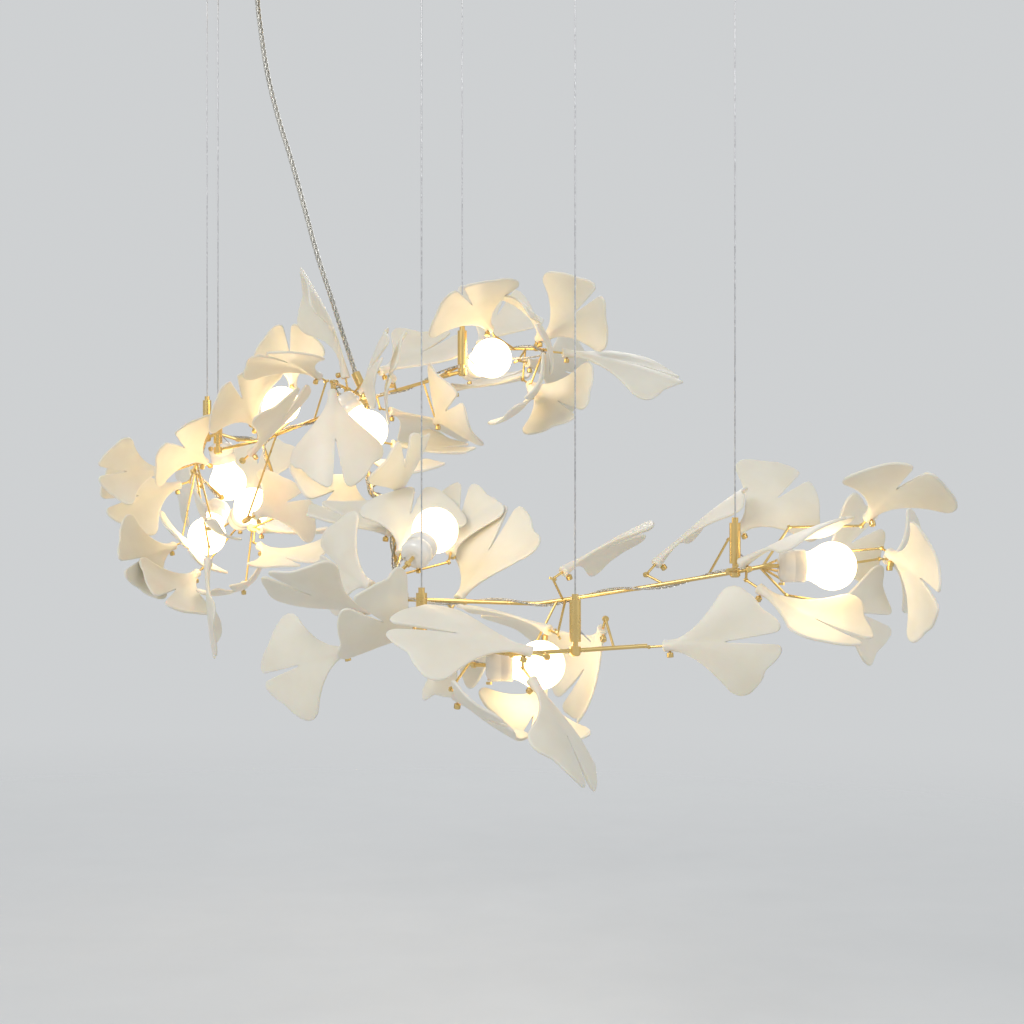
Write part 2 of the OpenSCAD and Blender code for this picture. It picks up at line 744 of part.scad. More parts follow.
module rose_bracket() {
    color("silver")
        difference() {
            union() {
                translate([3.6 - rose_r, -10, -2]) cube([2 * rose_r - 7.2, 20, 2]);
                for (s = [-1, 1])
                    translate([s * (rose_r - 3.2) - 1, -7, -22]) cube([2, 14, 22]);
            }
            for (s = [-1, 1]) {
                translate([s * 35, 0, -3]) cylinder(h = 4, r = 2.75);
                translate([0, 0, -14]) rotate([0, 90 * s, 0]) cylinder(h = 80, r = 2.05);
            }
        }
}

// Side screws that hold the cup on its bracket
module rose_screws() {
    color("goldenrod")
        for (s = [-1, 1])
            translate([0, 0, -14])
                rotate([0, 90 * s, 0])
                    difference() {
                        union() {
                            translate([0, 0, rose_r - 6]) cylinder(h = 6.5, r = 2);
                            translate([0, 0, rose_r]) cylinder(h = 2.4, r = 3.8);
                        }
                        translate([-5, -0.5, rose_r + 1.6]) cube([10, 1, 2]);
                    }
}

module terminal_block() {
    color("white")
        difference() {
            translate([-17, -8, -19.8]) cube([34, 16, 17.8]);
            for (x = [-11, 0, 11]) {
                translate([x, -9, -8]) rotate([-90, 0, 0]) cylinder(h = 18, r = 2.2);
                translate([x, 0, -20.8]) cylinder(h = 9, r = 1.8);
            }
        }
}

// Threaded grip that holds the cord where it leaves the rose
module cord_grip() {
    color("white")
        difference() {
            union() {
                translate([0, 0, -rose_h - 1]) cylinder(h = 9, r = 6);
                translate([0, 0, -rose_h + 1.5]) cylinder(h = 3, r = 9, $fn = 6);
                translate([0, 0, -rose_h - 6]) cylinder(h = 6, r = 9, $fn = 6);
                translate([0, 0, -rose_h - 15]) cylinder(h = 9.5, r = 6.5);
            }
            translate([0, 0, -rose_h - 20]) cylinder(h = 40, r = cord_d / 2 + 0.4);
        }
}

ceiling_rose();
rose_bracket();
rose_screws();
terminal_block();
cord_grip();
power_cord();
wire_anchors();
main_arm();
near_arm();
low_arm();
far_arm();
left_arm();
lampholders();
holder_screws();
bulbs();
lamp_leads();
leaf_screws();
leaf_group(["r"]);  // right_leaves
leaf_group(["b"]);  // low_leaves
leaf_group(["c", "m"]);  // centre_leaves
leaf_group(["t"]);  // top_leaves
leaf_group(["l"]);  // left_leaves
wire(0);  // wire_1
wire(1);  // wire_2
wire(2);  // wire_3
wire(3);  // wire_4
wire(4);  // wire_5
wire(5);  // wire_6
gripper(0);  // gripper_1
gripper(1);  // gripper_2
gripper(2);  // gripper_3
gripper(3);  // gripper_4
gripper(4);  // gripper_5
gripper(5);  // gripper_6
nozzle(0);  // nozzle_1
nozzle(1);  // nozzle_2
nozzle(2);  // nozzle_3
nozzle(3);  // nozzle_4
nozzle(4);  // nozzle_5
nozzle(5);  // nozzle_6
one_leaf("r1");  // leaf_r1
one_leaf("r7");  // leaf_r7
one_leaf("b2");  // leaf_b2
one_leaf("c5");  // leaf_c5
one_leaf("c6");  // leaf_c6
one_leaf("t5");  // leaf_t5
one_leaf("l7");  // leaf_l7
one_leaf("r8");  // leaf_r8
one_leaf("b1");  // leaf_b1
one_leaf("c3");  // leaf_c3
one_leaf("t1");  // leaf_t1
one_leaf("t4");  // leaf_t4
one_leaf("l15");  // leaf_l15
one_screw("r1");  // screw_r1
one_screw("r7");  // screw_r7
one_screw("b2");  // screw_b2
one_screw("c5");  // screw_c5
one_screw("c6");  // screw_c6
one_screw("t5");  // screw_t5
one_screw("l7");  // screw_l7
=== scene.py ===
# Looks of the ceramic chandelier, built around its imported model.
# The tables hold millimetres, measured from the branch datum as in the part's source;
# the meshes are in metres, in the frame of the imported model.
import math
import bmesh
import bpy
import numpy as np
from mathutils import Matrix, Vector


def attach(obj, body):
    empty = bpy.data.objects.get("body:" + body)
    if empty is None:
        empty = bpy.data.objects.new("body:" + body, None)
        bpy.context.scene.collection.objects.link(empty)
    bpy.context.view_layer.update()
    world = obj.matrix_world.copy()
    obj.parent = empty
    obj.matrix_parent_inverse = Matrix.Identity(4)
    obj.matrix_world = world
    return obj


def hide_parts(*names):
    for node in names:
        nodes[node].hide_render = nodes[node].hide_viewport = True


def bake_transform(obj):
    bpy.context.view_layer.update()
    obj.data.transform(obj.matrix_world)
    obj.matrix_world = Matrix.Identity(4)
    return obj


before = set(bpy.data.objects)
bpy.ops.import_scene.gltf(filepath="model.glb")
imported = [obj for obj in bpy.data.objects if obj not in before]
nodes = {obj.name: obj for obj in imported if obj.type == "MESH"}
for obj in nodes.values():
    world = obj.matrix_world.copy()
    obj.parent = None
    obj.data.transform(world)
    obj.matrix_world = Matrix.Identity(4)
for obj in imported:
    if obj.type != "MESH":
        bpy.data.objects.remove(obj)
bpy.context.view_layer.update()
bpy.context.scene.view_settings.view_transform = "Standard"

MM = 0.001
DATUM = np.array([300.0, 0.0, -665.0])

# Leaf sizes, as in the part's source
LEAF_L = 120.0
LEAF_W = 122.0
LEAF_T = 2.8
STALK_R = 5.6
SLIT_FROM = 0.57

# Leaf forms: cup angle at the wings, curl angle from foot to tip, wave height
OPEN = (25, 15, 2)
HOLLOW = (50, 25, 2)

# Centres of the globes
LAMPS = [
    (297, -495, -50),
    (-23, -88, 174),
    (26, -520, -140),
    (-315, 80, 7),
    (-352, 130, 37),
    (-280, 80, 130),
    (-161, -120, 91),
    (-366, 50, -29),
    (-75, -400, -18),
]

# Direction from each lampholder to its globe
LAMP_AIMS = [
    (1, 0, 0),
    (29, -38, 10),
    (1, 0, 0),
    (23, -38, 17),
    (10, 12, -54),
    (25, -40, 8),
    (30, -10, -35),
    (-10, -30, -38),
    (20, 38, 26),
]

# The two turned joints of the rods
HUB = (-110, -400, -85)
KNEE = (-165, -70, 129)

# Rods that the lamp leads follow, from the lamp back towards the power cord.
# The lead's way out of its lampholder is added in front.
LEAD_ROUTES = [
    [(208, -485, -56), (120, -460, -72), (25, -430, -88), HUB],
    [(42, -86, 183), (28, -46, 188), (-20, -22, 190), (-75, -30, 162), (-128, -66, 140), KNEE],
    [(-50, -505, -137), (-85, -470, -122), HUB],
    [(-325, 145, 0), (-296, 130, 45), (-304, 80, 87), (-252, 30, 103), KNEE],
    [(-377, 123, 92), (-363, 117, 97), (-337, 110, 89), (-304, 80, 87)],
    [(-322, 138, 108), (-304, 80, 87)],
    [(-200, -88, 146), KNEE],
    [(-392, 108, 50), (-377, 123, 92)],
    [(-122, -440, -72), HUB],
]
LINK_ROUTE = [HUB, (-127, -250, 7), (-150, -200, 20), (-170, -50, 70), KNEE]

# Points of the branches under the six wires
HANGS = [
    (-377, 123, 92),
    (-352, 44, 74),
    (-85, -470, -122),
    (-56, -100, 158),
    (57, -545, -125),
    (208, -485, -56),
]

# Power cord, from the terminal block to the branches, in millimetres of the frame itself
CORD_ROUTE = [
    (0, 0, -20),
    (0, 0, -45),
    (1, 0, -66),
    (4, -3, -91),
    (13, -10, -148),
    (27, -18, -204),
    (44, -26, -258),
    (61, -34, -318),
    (76, -42, -371),
    (91, -50, -415),
    (111, -60, -476),
    (123, -66, -512),
]

# Leaves: name, lamp, foot from that lamp, direction, hollow face, size, form
LEAVES = [
    ("r1", 0, (33, 0, 44), (34, -105, 62), (-2, -4, -9), 1, OPEN),
    ("r2", 0, (53, 0, 12), (38, -108, -36), (-15, -5, -2), 1.05, OPEN),
    ("r3", 0, (60, 50, 5), (75, 90, -5), (-9, 7, 0), 0.95, OPEN),
    ("r4", 0, (-5, 45, -5), (60, 75, 45), (7, -7, 0), 0.9, OPEN),
    ("r5", 0, (4, 29, -36.5), (62, 90, -22), (8, -6, 0), 0.9, OPEN),
    ("r6", 0, (-70, -10, -20), (95, -55, -65), (3, -5, 8), 1, OPEN),
    ("r7", 0, (-159, -35, -72), (110, -45, 10), (3, 9, 0), 0.92, OPEN),
    ("r8", 0, (-161, 45, 0), (84, 50, 88), (7, 0, -7), 1.05, OPEN),
    ("r9", 0, (-80, 71, 31), (82, 60, 64), (-3, 11, -6), 1, OPEN),
    ("r10", 0, (-87, -15, 2), (88, -60, 60), (5, -2, -8), 1, OPEN),
    ("r11", 0, (-249, 45, -7), (78, 70, 51), (5, -2, -8), 1, OPEN),
    ("b1", 2, (-8, -50, 15), (-127, -10, 40), (0, 5, -9), 1.12, OPEN),
    ("b2", 2, (-9, -50, -9), (62, -60, -82), (-8, 3, -6), 1, OPEN),
    ("b3", 2, (4, 60, -24), (-24, -105, -52), (4, -6, 10), 1, OPEN),
    ("b4", 2, (-76, -38, -24), (40, -95, -32), (6, 0, 7), 0.85, OPEN),
    ("b5", 2, (9, 50, 29), (-65, 95, 25), (-2, -3, -9), 1, OPEN),
    ("b6", 2, (58, 15, 33), (-15, 90, -75), (-7, -4, 0), 1, HOLLOW),
    ("c1", 8, (-34, 5, -23), (14, 80, 75), (0, 8, -9), 1, OPEN),
    ("c2", 8, (14, 44, -23), (15, 80, 65), (0, -6, 8), 0.83, OPEN),
    ("c3", 8, (22, 20, -68), (58, 70, 80), (-3, -7, 9), 1.05, OPEN),
    ("c4", 8, (-61, -10, -54), (-75, 90, 35), (7, 6, 0), 1, OPEN),
    ("c5", 8, (-61, -30, -76), (-100, -55, 22), (1, 5, 9), 0.95, OPEN),
    ("c6", 8, (-81, -20, -114), (-98, 50, -33), (5, 8, 0), 1, OPEN),
    ("c7", 8, (-15, -84, -99), (-46, -92, 28), (-7, 5, 5.5), 0.92, OPEN),
    ("c10", 8, (18, -4, -95), (4, -105, -50), (6, 4, -8), 0.88, OPEN),
    ("c11", 8, (-48, 75, -2), (-75, 60, 14), (0, -2, 9), 0.9, OPEN),
    ("t1", 1, (-2, -5, 32), (-37, -105, 46), (4, -5, -8), 1.05, OPEN),
    ("t2", 1, (-14, 55, 20), (32, 95, 62), (3, -7, 9), 1, OPEN),
    ("t3", 1, (54, 25, 24), (14, -112, 22), (-8, -1, -5), 1.05, HOLLOW),
    ("t4", 1, (59, 48, 25), (74, -82, 56), (-7, -8, -5), 1, OPEN),
    ("t5", 1, (80, 0, 6), (128, 17, -10), (-2, 4, -9), 1.22, OPEN),
    ("t6", 1, (40, 40, -2), (85, 80, -12), (-7, 7, 0), 1.05, OPEN),
    ("t7", 1, (43, 35, -27), (65, -90, -49), (-6, -8, 7), 1, OPEN),
    ("t9", 1, (45, 5, -34), (8, -108, -36), (-8, -3, 6), 1, HOLLOW),
    ("t10", 1, (-62, 20, -70), (14, -112, 10), (8, 2, 5), 1, OPEN),
    ("t12", 1, (-127, 0, -15), (86, 75, 36), (0, -4, 8), 1, OPEN),
    ("t13", 1, (-112, -10, -24), (-8, -115, 0), (9, 1, -2), 0.95, OPEN),
    ("l1", 3, (46, 30, 145), (-3, -50, 90), (1, -9, -5), 0.85, HOLLOW),
    ("l2", 3, (87, -60, 153), (-61, -100, 36), (0, -3, -8), 1, OPEN),
    ("l3", 6, (-27, 30, 60), (-22, 10, 121), (-9, -2, -2), 1.15, HOLLOW),
    ("l4", 3, (4, 10, 96), (-24, -100, 62), (8, -7, -7), 1.05, OPEN),
    ("l6", 3, (3, -50, 62), (84, -60, 68), (-6, 1, 7), 1, OPEN),
    ("l7", 3, (-109, 0, 43), (-77, -50, -2), (8, -12, 0), 0.8, HOLLOW),
    ("l8", 3, (-96, 45, 27), (-88, -72, -30), (5, -7, 3), 1, OPEN),
    ("l9", 3, (-97, 8, -48), (-58, -100, -28), (8, -5, 3), 1, OPEN),
    ("l10", 3, (-69, 10, -81), (-35, -105, -40), (6, -5, 8), 1, OPEN),
    ("l12", 3, (-39, -100, -61), (-4, -30, -124), (9, 1, 0), 1, OPEN),
    ("l13", 3, (-13, 20, -96), (-3, -112, -25), (-3, -2, 8), 0.85, HOLLOW),
    ("l14", 3, (11, -70, -12), (64, 95, 35), (-8, 8, -7), 1, OPEN),
    ("l15", 6, (-36, -40, 41), (13, -75, -100), (0, 8, -6), 1, HOLLOW),
    ("t15", 1, (-47, 58, -30), (100, 60, 10), (1, -1, 9), 0.9, OPEN),
    ("t16", 6, (20, 65, 25), (77, 80, -18), (0, -2, -9), 1, OPEN),
    ("t17", 6, (25, 35, -14), (95, 50, -15), (0, -3, 9), 0.85, OPEN),
    ("m1", 6, (-5, 0, 43), (17, -105, 45), (9, 3, -3), 0.9, OPEN),
    ("m2", 8, (-43, 118, 34), (26, -95, 60), (-8, 3, 8), 0.8, OPEN),
    ("m3", 6, (30, -60, -51), (28, 110, 8), (0, -2, 9), 0.8, OPEN),
    ("l16", 6, (-14, 20, -46), (-40, -90, -45), (4, -6, 8), 1, OPEN),
    ("l17", 3, (-60, 14, 54), (-34, -100, 34), (7, -4, -6), 1, OPEN),
    ("l18", 3, (-10, 72, 14), (0, 100, 61), (0, -5, 8), 1.05, OPEN),
    ("l20", 3, (-75, 52, 25), (-58, 100, 5), (9, 5, 0), 1, OPEN),
    ("l22", 3, (-70, 20, -47), (-8, -112, -12), (7, -2, 7), 1, OPEN),
    ("l23", 3, (-41, -75, -18), (-3, -115, -5), (8, 1, 6), 0.85, HOLLOW),
    ("l24", 3, (8, 0, -48), (70, -88, -35), (0, -4, 9), 1, OPEN),
    ("l25", 3, (8, 0, -28), (60, 100, -15), (0, -2, 9), 1, OPEN),
]

# Leaves with a joint of their own, other leaves with a node of their own, and the nodes
# of the rest by the first letter of their names
TURNING = {"r1", "r7", "b2", "c5", "c6", "t5", "l7"}
SINGLE = {"r8", "b1", "c3", "t1", "t4", "l15"}
GROUP_NODE = {
    "r": "right_leaves",
    "b": "low_leaves",
    "c": "centre_leaves",
    "m": "centre_leaves",
    "t": "top_leaves",
    "l": "left_leaves",
}


# Camera

def make_camera(place, focal_px, image_px=1024, sensor_mm=36):
    """Level camera at the photograph's place, looking along +Y."""
    data = bpy.data.cameras.new("camera")
    data.sensor_width = sensor_mm
    data.lens = focal_px / image_px * sensor_mm
    data.clip_end = 100
    camera = bpy.data.objects.new("camera", data)
    camera.location = place
    camera.rotation_euler = (math.radians(90), 0, 0)
    bpy.context.scene.collection.objects.link(camera)
    bpy.context.scene.camera = camera


make_camera((0.300, -2.350, -0.665), 2000)


# Materials

def shader(name, dark, light, patch, rough, grain, bump, depth, **sockets):
    """Principled material whose colour and roughness drift in patches, with a fine grain.

    dark and light are the ends of the colour, patch is the scale of its patches, rough is
    the range of the roughness, and grain, bump and depth shape the fine relief."""
    made = bpy.data.materials.new(name)
    made.use_nodes = True
    tree = made.node_tree
    bsdf = tree.nodes["Principled BSDF"]
    place = tree.nodes.new("ShaderNodeTexCoord")

    def drift(scale, detail):
        node = tree.nodes.new("ShaderNodeTexNoise")
        node.inputs["Scale"].default_value = scale
        node.inputs["Detail"].default_value = detail
        tree.links.new(place.outputs["Object"], node.inputs["Vector"])
        return node.outputs["Fac"]

    def spread(noise, low, high):
        """The middle part of a noise, stretched to run from low to high."""
        node = tree.nodes.new("ShaderNodeMapRange")
        node.inputs["From Min"].default_value = 0.3
        node.inputs["From Max"].default_value = 0.7
        node.inputs["To Min"].default_value = low
        node.inputs["To Max"].default_value = high
        tree.links.new(noise, node.inputs["Value"])
        return node.outputs["Result"]

    # Of a colour mix, inputs 6 and 7 are its two colours and output 2 is the result
    colour = tree.nodes.new("ShaderNodeMix")
    colour.data_type = "RGBA"
    colour.inputs[6].default_value = (*dark, 1)
    colour.inputs[7].default_value = (*light, 1)
    tree.links.new(spread(drift(patch, 4), 0, 1), colour.inputs[0])
    tree.links.new(colour.outputs[2], bsdf.inputs["Base Color"])
    tree.links.new(spread(drift(patch * 2.3, 6), *rough), bsdf.inputs["Roughness"])

    relief = tree.nodes.new("ShaderNodeBump")
    relief.inputs["Strength"].default_value = bump
    relief.inputs["Distance"].default_value = depth
    tree.links.new(drift(grain, 3), relief.inputs["Height"])
    tree.links.new(relief.outputs["Normal"], bsdf.inputs["Normal"])

    for socket, value in sockets.items():
        bsdf.inputs[socket.replace("_", " ")].default_value = value
    return made


PORCELAIN = shader(
    "porcelain", (0.81, 0.76, 0.66), (0.86, 0.82, 0.73), 28, (0.38, 0.52), 900, 0.10, 0.0002,
    Subsurface_Weight=0.5, Subsurface_Radius=(1.0, 0.72, 0.42), Subsurface_Scale=0.008,
    Coat_Weight=0.12, Coat_Roughness=0.35, IOR=1.5,
)
HOLDER_PORCELAIN = shader(
    "holder_porcelain", (0.90, 0.87, 0.80), (0.94, 0.92, 0.87), 60, (0.16, 0.26), 700, 0.06, 0.0002,
    Subsurface_Weight=0.2, Subsurface_Radius=(1.0, 0.9, 0.75), Subsurface_Scale=0.002,
    Coat_Weight=0.5, Coat_Roughness=0.08,
)
BRASS = shader(
    "brushed_brass", (0.74, 0.53, 0.21), (0.82, 0.61, 0.27), 40, (0.24, 0.34), 3500, 0.05, 0.00005,
    Metallic=1.0,
)
ROSE_BRASS = shader(
    "rose_brass", (0.74, 0.54, 0.23), (0.81, 0.61, 0.28), 22, (0.25, 0.32), 3500, 0.05, 0.00005,
    Metallic=1.0,
)
WIRE_STEEL = shader(
    "wire_steel", (0.42, 0.42, 0.43), (0.66, 0.66, 0.67), 300, (0.25, 0.42), 3000, 0.15, 0.0001,
    Metallic=1.0,
)
ZINC = shader(
    "zinc_plate", (0.50, 0.51, 0.53), (0.70, 0.71, 0.72), 120, (0.30, 0.48), 1500, 0.15, 0.0001,
    Metallic=1.0,
)
CORE_METAL = shader(
    "tinned_core", (0.58, 0.56, 0.52), (0.80, 0.78, 0.73), 500, (0.22, 0.36), 4000, 0.20, 0.0001,
    Metallic=1.0,
)
CLEAR_SHEATH = shader(
    "clear_sheath", (0.93, 0.93, 0.91), (0.98, 0.98, 0.97), 80, (0.03, 0.10), 1200, 0.06, 0.0001,
    Transmission_Weight=1.0, IOR=1.42,
)
WHITE_PLASTIC = shader(
    "white_plastic", (0.74, 0.74, 0.72), (0.84, 0.84, 0.82), 70, (0.36, 0.50), 1400, 0.12, 0.0001,
)
FROSTED_GLASS = shader(
    "frosted_glass", (0.95, 0.90, 0.80), (1.0, 0.96, 0.88), 40, (0.45, 0.60), 1600, 0.05, 0.0001,
    Emission_Color=(1.0, 0.72, 0.38, 1), Emission_Strength=6.0,
)
NICKEL = shader(
    "nickel_cap", (0.62, 0.60, 0.56), (0.78, 0.76, 0.72), 200, (0.18, 0.30), 1500, 0.10, 0.0001,
    Metallic=1.0,
)


# Mesh tools

def piece(name, points, faces, finish, body=None, stands_for=None):
    """Smooth-shaded object from points and faces, riding on a body and replacing a node."""
    mesh = bpy.data.meshes.new(name)
    mesh.from_pydata([tuple(p) for p in points], [], faces)
    mesh.materials.append(finish)
    mesh.validate()
    mesh.polygons.foreach_set("use_smooth", [True] * len(mesh.polygons))
    mesh.update()
    made = bpy.data.objects.new(name, mesh)
    bpy.context.scene.collection.objects.link(made)
    if body:
        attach(made, body)
    if stands_for:
        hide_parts(stands_for)
    return made


def ring_faces(rings, count):
    """Quads between rings of points, with a cap on the first and the last ring."""
    faces = []
    for i in range(rings - 1):
        for k in range(count):
            here, after = i * count + k, i * count + (k + 1) % count
            faces.append((here, after, after + count, here + count))
    faces.append(tuple(reversed(range(count))))
    faces.append(tuple(range((rings - 1) * count, rings * count)))
    return faces


def smooth_line(points, steps):
    """The source's smooth curve through given points."""
    p = np.array(points, float)
    line = []
    for i in range(len(p) - 1):
        a, b, c, d = p[max(0, i - 1)], p[i], p[i + 1], p[min(len(p) - 1, i + 2)]
        for t in np.arange(steps) / steps:
            line.append(
                (2 * b + (c - a) * t + (2 * a - 5 * b + 4 * c - d) * t**2
                 + (3 * b - a - 3 * c + d) * t**3) / 2
            )
    line.append(p[-1])
    return np.array(line)


def softened(points, step, reach):
    """The straight runs of a bent rod, with its corners rounded within a reach."""
    line, _ = resampled(np.array(points, float), step)
    n = max(1, int(round(reach / step)))
    ends = np.concatenate([np.repeat(line[:1], n, 0), line, np.repeat(line[-1:], n, 0)])
    total = np.cumsum(np.concatenate([np.zeros((1, 3)), ends]), 0)
    soft = (total[2 * n + 1:] - total[:-2 * n - 1]) / (2 * n + 1)
    soft[0], soft[-1] = line[0], line[-1]
    return soft


def resampled(line, step):
    """The same line with points an even step apart."""
    along = np.concatenate([[0], np.cumsum(np.linalg.norm(np.diff(line, axis=0), axis=1))])
    wanted = np.linspace(0, along[-1], max(3, int(round(along[-1] / step)) + 1))
    return np.stack([np.interp(wanted, along, line[:, k]) for k in range(3)], 1), wanted


def frames_along(line):
    """Directions along a line and two sides that don't twist."""
    ahead = np.gradient(line, axis=0)
    ahead /= np.linalg.norm(ahead, axis=1)[:, None]
    side = np.cross(ahead[0], [1.0, 0, 0] if abs(ahead[0][0]) < 0.8 else [0, 1.0, 0])
    sides = []
    for d in ahead:
        side = side - d * (side @ d)
        side = side / np.linalg.norm(side)
        sides.append(side)
    sides = np.array(sides)
    return ahead, sides, np.cross(ahead, sides)


def tube(line, radius, count, lobes=0, lobe=0.0, pitch=1.0):
    """Round tube along a line in metres. Lobes that twist along it give a lay of strands."""
    line, along = resampled(line, radius * 1.2 if not lobes else pitch / 10)
    _, a, b = frames_along(line)
    turn = np.arange(count) / count * 2 * math.pi
    lay = turn[None, :] - 2 * math.pi * along[:, None] / pitch
    r = radius * (1 - lobe + lobe * np.cos(lobes * lay))
    points = line[:, None] + r[..., None] * (
        np.cos(turn)[None, :, None] * a[:, None] + np.sin(turn)[None, :, None] * b[:, None]
    )
    return points.reshape(-1, 3), ring_faces(len(line), count)


def strand(line, offset, pitch, phase):
    """A line that winds around another one."""
    line, along = resampled(line, pitch / 12)
    _, a, b = frames_along(line)
    turn = along / pitch * 2 * math.pi + phase
    return line + offset * (np.cos(turn)[:, None] * a + np.sin(turn)[:, None] * b)


def merged(parts):
    """One set of points and faces from several."""
    points, faces, start = [], [], 0
    for p, f in parts:
        points.append(p)
        faces += [tuple(i + start for i in face) for face in f]
        start += len(p)
    return np.concatenate(points), faces


def lathe(profile, count, place, knurl=None):
    """Turned shape around the Z axis of a placing matrix; profile is (z, radius) in mm.

    Between the two heights of knurl, every other point lies a little deeper."""
    turn = np.arange(count) / count * 2 * math.pi
    rings = []
    for z, radius in profile:
        r = np.full(count, radius, float)
        if knurl and knurl[0] <= z <= knurl[1]:
            r *= 1 - KNURL_DEPTH * (np.arange(count) % 2)
        rings.append(np.stack([r * np.cos(turn), r * np.sin(turn), np.full(count, z)], 1))
    points = np.concatenate(rings)
    return (points @ place[:3, :3].T + place[:3, 3]) * MM, ring_faces(len(profile), count)


def turned(point, aim):
    """Placing matrix of the source's turned(): local Z looks along aim. In mm of the frame."""
    d = np.array(aim, float) / np.linalg.norm(aim)
    tilt = Matrix.Rotation(math.acos(d[2]), 4, "Y")
    swing = Matrix.Rotation(math.atan2(d[1], d[0]), 4, "Z")
    place = np.array(swing @ tilt)
    place[:3, 3] = np.array(point) + DATUM
    return place


def moved(place, offset, turn):
    """A placing matrix after a local shift and turn."""
    return place @ np.array(Matrix.Translation(offset) @ turn)


# Power cord: clear sheath around three twisted tinned cores

def clear_cord(name, line, radius, core, offset, pitch, cores):
    """Clear sheath along a line, and its cores that wind around that line at an offset."""
    sheath = piece(name, *tube(line, radius, 20), CLEAR_SHEATH)
    inner, _ = resampled(line, radius)
    wound = [
        tube(strand(inner[1:-1], offset, pitch, k * 2 * math.pi / cores), core, 10, 5, 0.1, pitch * 0.4)
        for k in range(cores)
    ]
    return sheath, piece(name + "_cores", *merged(wound), CORE_METAL)


cord_line = smooth_line(CORD_ROUTE, 8) * MM
power_cord, power_cores = clear_cord(
    "clear_power_cord", cord_line, radius=0.00295, core=0.0009, offset=0.00135, pitch=0.026, cores=3)
for part in (power_cord, power_cores):
    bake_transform(part)
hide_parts("power_cord")


# Suspension wires: stranded steel, bent out of the side of each gripper. The radius and
# the pitch are in metres; the heights are in millimetres, of the frame for the top and
# from the branches for the bend.

WIRE_R = 0.00075
WIRE_PITCH = 0.014
WIRE_TOP = -6
BEND_HEIGHT = 22

for i, hang in enumerate(HANGS):
    foot = np.array(hang) + DATUM
    turn_at = foot + (0, 0, BEND_HEIGHT)
    bend = [turn_at + (0, 0, 1.2), turn_at + (0.35, 0, -0.35), turn_at + (14, 0, -14)]
    line = np.array([(foot[0], foot[1], WIRE_TOP), *bend]) * MM
    strands = tube(line, WIRE_R, 18, lobes=6, lobe=0.09, pitch=WIRE_PITCH)
    wire = piece(f"stranded_wire_{i + 1}", *strands, WIRE_STEEL)
    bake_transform(wire)
    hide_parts(f"wire_{i + 1}")


# Leaves

def leaf_grid():
    """Rows from foot to rim and columns from the slit to the wing, close together at edges."""
    rows = [0, 0.004, 0.014, 0.03, 0.055, 0.09, 0.13, 0.17, 0.21, 0.25, 0.30, 0.35, 0.40, 0.45, 0.50,
            0.54, 0.57, 0.585, 0.61, 0.65, 0.69, 0.73, 0.77, 0.81, 0.85, 0.885, 0.915, 0.94, 0.96,
            0.975, 0.985, 0.992, 0.997, 1.0]
    cols = [0, 0.008, 0.018, 0.03, 0.05, 0.08, 0.11, 0.15, 0.20, 0.26, 0.33, 0.40, 0.47, 0.54, 0.61,
            0.68, 0.74, 0.79, 0.84, 0.885, 0.92, 0.95, 0.97, 0.984, 0.993, 1.0]
    return np.array(rows), np.array(cols)


ROWS, COLS = leaf_grid()

# Half the step over which a leaf's slopes are taken, and the least distance from the foot
PROBE = 0.004
PROBE_FROM = 0.02

# Rounding of a leaf's edges, in shares of its grid. Wings and rim: where it starts and how
# wide it is; lip and slit edge: how wide they are; edge: where the blade starts to thin.
WINGS = (0.78, 0.22)
RIM = (0.984, 0.016)
LIP = 0.17
SLIT_EDGE = 0.022
EDGE_FROM = 0.968
WING_DROP = 0.17

# Shares of a leaf's length: where the blade has its full edges, and where the stalk ends
BLADE_FROM = 0.36
STALK_TO = 0.35

# The stalk's first rows are a little smaller, which rounds its foot
FOOT_ROWS = (0.80, 0.93)
FOOT_TO = 0.01


def quarter(t):
    """Quarter-round fall from 1 to 0 as t goes from 0 to 1."""
    return np.sqrt(1 - np.clip(t, 0, 1) ** 2)


def leaf_surface(u, w, side, v, size, form, habit):
    """The source's middle surface, with a dent in each lobe and a slit that opens more.

    u runs from the foot to the rim and w from wing to wing; side and v say which half of
    the leaf and which row of its grid a point belongs to."""
    length, half = LEAF_L * size, LEAF_W * size / 2 * 1.07
    m = np.abs(w)
    rim = 1 - 0.42 * m**1.4 - habit["dent"] * np.exp(-(((m - habit["dent_at"]) / 0.11) ** 2))
    opened = np.clip((v - SLIT_FROM) / (1 - SLIT_FROM), 0, 1)
    gap = side * (0.5 * (opened > 0) + habit["gap"] * opened**1.15) * np.maximum(0, 1 - m) ** 1.3
    x0 = STALK_R * w * (1 - u) ** 2 + half * w * np.maximum(u, 0) ** 1.92 + gap
    bow = form[0] * math.pi / 180 / (LEAF_W * size / 2)
    turn = form[1] * math.pi / 180 / length
    run = length * u * rim
    x = np.sin(x0 * bow) / bow
    lift = (1 - np.cos(x0 * bow)) / bow
    wave = form[2] * np.sin(np.radians(w * 300 + 40)) * u**2
    wave = wave + 0.9 * np.sin(6.5 * w + habit["phase"]) * np.maximum(u, 0) ** 3
    y = np.sin(run * turn) / turn
    z = (1 - np.cos(run * turn)) / turn
    return np.stack([x, y - lift * np.sin(run * turn), z + lift * np.cos(run * turn) + wave], -1)


